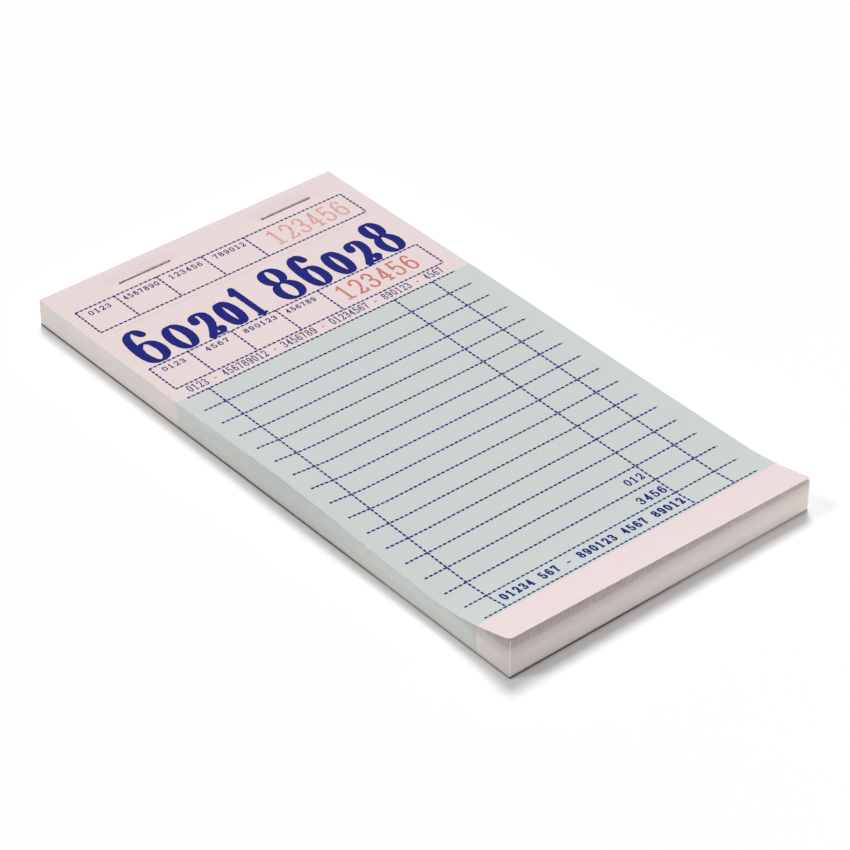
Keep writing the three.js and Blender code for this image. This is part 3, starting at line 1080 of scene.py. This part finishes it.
# %% A row of boxes with headings
LABEL_PEN, LABEL_SHARE = (0.3, 0.24), 0.72


def box_row(ink, left, right, top, base, dividers, labels, label_top, label_base):
    ink.box(left, right, top, base)
    for divider in dividers:
        ink.line(divider, top, divider, base)
    for text, start, end in labels:
        ink.text(text, start, end, label_top, label_base, LABEL_PEN, LABEL_SHARE)


print("the headings' pen is", LABEL_PEN, "mm wide on upright and level strokes")

# %% The stub's print
STUB_STAMP_PEN = (0.62, 0.5)

top_stub_side = partial(stub_top, below=SHEETS - 1)
stub_ink = Print()
box_row(stub_ink, 3.3, 84.4, 10.2, 20.6, (14.6, 27.2, 40.8, 53.75),
        (("0123", 5.7, 11.9), ("4567890", 15.8, 26.2), ("123456", 29.5, 39.2),
         ("789012", 43.0, 52.4)), 11.5, 13.4)
stub_ink.lay("stub_form", top_stub_side, BLUE_INK, "stapled_head", "stub_paper")
stub_number = Print()
stub_number.text("123456", 58.6, 81.7, 11.7, 18.5, STUB_STAMP_PEN)
stub_number.lay("stub_number", top_stub_side, FAINT_RED_INK, "stapled_head", "stub_paper")
print("faces of the stub's form:", len(stub_ink.faces))

# %% The headline of a check
HEADLINE_BASE = 39.3
HEADLINE_PEN, ONE_PEN = (2.5, 0.85), (1.8, 0.85)
HEADLINE = (("6", 3.9, 11.9, 24.7), ("0", 13.1, 20.2, 28.6), ("2", 21.3, 27.5, 28.6),
            ("0", 28.6, 34.5, 28.6), ("1", 35.2, 39.8, 25.8),
            ("8", 44.6, 52.4, 24.7), ("6", 53.6, 60.4, 24.7), ("0", 61.6, 67.8, 28.6),
            ("2", 69.0, 75.2, 28.6), ("8", 76.4, 83.3, 24.7))  # sign, left, right, top


def draw_headline(ink):
    for sign, left, right, top in HEADLINE:
        ink.sign(sign, left, right, top, HEADLINE_BASE, ONE_PEN if sign == "1" else HEADLINE_PEN)


print("numerals in the headline:", len(HEADLINE))

# %% The boxes and rules of a check
HEADER_PEN, HEADER_SHARE = (0.27, 0.22), 0.76
RULES, FIRST_RULE, RULE_STEP = 17, 54.8, 6.494
RULE_LEFT, RULE_RIGHT = 3.0, 84.0
RULED_COLUMNS = (9.2, 64.9, 76.8)


def draw_boxes(ink):
    box_row(ink, 3.1, 84.3, 39.9, 50.2, (14.3, 27.1, 40.4, 53.2),
            (("0123", 5.4, 11.8), ("4567", 17.9, 24.7), ("890123", 29.3, 38.9),
             ("456789", 42.0, 50.8)), 41.2, 43.0)
    ink.text("0123 - 456789012 - 3456789 - 01234567 - 890123 - 4567", 5.1, 82.1, 50.9, 53.5,
             HEADER_PEN, HEADER_SHARE)


def draw_rules(ink):
    for rule in range(RULES):
        distance = FIRST_RULE + RULE_STEP * rule
        ink.line(RULE_LEFT, distance, RULE_RIGHT, distance)
    for column in RULED_COLUMNS:
        ink.line(column, FIRST_RULE, column, FIRST_RULE + RULE_STEP * (RULES - 1))


last_rule = round(FIRST_RULE + RULE_STEP * (RULES - 1), 1)
print("rules:", RULES, "and the last is", last_rule, "mm below the head")

# %% The check's print
STAMP_PEN = (0.66, 0.54)


def draw_form():
    ink = Print()
    draw_headline(ink)
    draw_boxes(ink)
    draw_rules(ink)
    ink.text("012", 58.6, 63.8, 141.4, 143.8, (0.42, 0.3))
    ink.text("3456", 56.2, 64.2, 148.0, 150.7, (0.5, 0.36))
    ink.text("01234 567 - 890123 4567 89012", 10.7, 64.0, 153.9, 156.7, (0.54, 0.4))
    return ink


check_form = draw_form()
for number, stamped in ((1, "123456"), (2, "123457")):
    body = f"check_{number:02d}"
    printed_side = partial(sheet_top, below=SHEETS - number)
    check_form.lay(f"check_form_{number:02d}", printed_side, BLUE_INK, body, "check_paper")
    check_number = Print()
    check_number.text(stamped, 56.3, 79.5, 41.5, 47.9, STAMP_PEN)
    check_number.lay(f"check_number_{number:02d}", printed_side, RED_INK, body, "check_paper")
print("faces of a check's form:", len(check_form.faces))

# %% [markdown]
# ## The floor
#
# The pad lies on a white surface. A floor that only reflects can't be pure white and show a soft
# shadow as well, so this one also glows a little, for the camera and for reflections alone: it
# is white, and the shadow on it stays grey.

# %% Floor
FLOOR_COLOR, FLOOR_GLOW = (0.925, 0.93, 0.936, 1), 0.05
FLOOR_REACH, FLOOR_DROP = 3000, 0.05
WHITE = (1, 1, 1, 1)


def seen_directly(tree):
    """1 for what the camera or a reflection sees, and 0 for light on its way elsewhere."""
    path = node(tree, "ShaderNodeLightPath")
    return reckon(tree, "ADD", path.outputs["Is Camera Ray"], path.outputs["Is Glossy Ray"],
                  clamp=True)


def floor_material():
    material, tree, floor = new_material("floor")
    floor.inputs["Base Color"].default_value = FLOOR_COLOR
    floor.inputs["Roughness"].default_value = 0.9
    floor.inputs["Specular IOR Level"].default_value = 0.1
    floor.inputs["Emission Color"].default_value = WHITE
    glow = product(tree, seen_directly(tree), FLOOR_GLOW)
    tree.links.new(glow, floor.inputs["Emission Strength"])
    return material


def add_floor():
    corners = [(-FLOOR_REACH, -FLOOR_REACH, 0), (FLOOR_REACH, -FLOOR_REACH, 0),
               (FLOOR_REACH, FLOOR_REACH, 0), (-FLOOR_REACH, FLOOR_REACH, 0)]
    floor = add_mesh("floor", corners, [(0, 1, 2, 3)], floor_material(), flat=True)
    floor.location.z = -FLOOR_DROP * MM
    return floor


print("floor at", round(add_floor().location.z / MM, 3), "mm")

# %% [markdown]
# ## The light
#
# The pad stands in an even, soft light from nearly overhead. A white world gives a dim light
# from all round, and is itself seen at full brightness. A wide sun behind to the right lays the
# soft shadows along the left side and the foot, and a weaker one behind to the left fills them.
# The low cut sides would still be too dark, and a stronger sun would burn out the top. Two low
# panels on the floor, one off the left side and one off the foot, light only the sides.

# %% World
WORLD_STRENGTH = 0.30


def light_world():
    world = bpy.data.worlds.new("world")
    world.use_nodes = True
    tree = world.node_tree
    background = tree.nodes["Background"]
    background.inputs["Color"].default_value = WHITE
    power = reckon(tree, "MULTIPLY_ADD", seen_directly(tree), 1.0 - WORLD_STRENGTH,
                   WORLD_STRENGTH)
    tree.links.new(power, background.inputs["Strength"])
    scene.world = world


light_world()
print("world strength for the light it gives:", WORLD_STRENGTH)

# %% Lamps
PANEL_WIDE, PANEL_HIGH = 160, 16
PANEL_MIDDLE = 10


def add_lamp(name, data, comes_from, location):
    lamp = bpy.data.objects.new(name, data)
    lamp.rotation_euler = Vector(comes_from).to_track_quat("Z", "Y").to_euler()
    lamp.location = location
    scene.collection.objects.link(lamp)
    return lamp


def add_sun(name, comes_from, strength, softness):
    """Parallel light. comes_from points towards the lamp, softness is its width in degrees."""
    data = bpy.data.lights.new(name, "SUN")
    data.energy = strength
    data.angle = math.radians(softness)
    return add_lamp(name, data, comes_from, Vector(comes_from))


def add_panel(name, x, y, power):
    """A low lit panel that stands on the floor and faces the pad."""
    data = bpy.data.lights.new(name, "AREA")
    data.shape = "RECTANGLE"
    data.size, data.size_y = PANEL_WIDE * MM, PANEL_HIGH * MM
    data.energy = power
    panel = add_lamp(name, data, (x, y, 0), Vector((x, y, PANEL_MIDDLE)) * MM)
    panel.visible_camera = False
    return panel


add_sun("key", (0.31, 0.38, 1.0), strength=1.93, softness=20)
add_sun("side", (-0.75, 0.38, 1.0), strength=0.62, softness=13)
add_panel("left panel", x=-340, y=230, power=0.14)
add_panel("foot panel", x=240, y=-350, power=0.5)
print("lamps:", [light.name for light in bpy.data.lights])
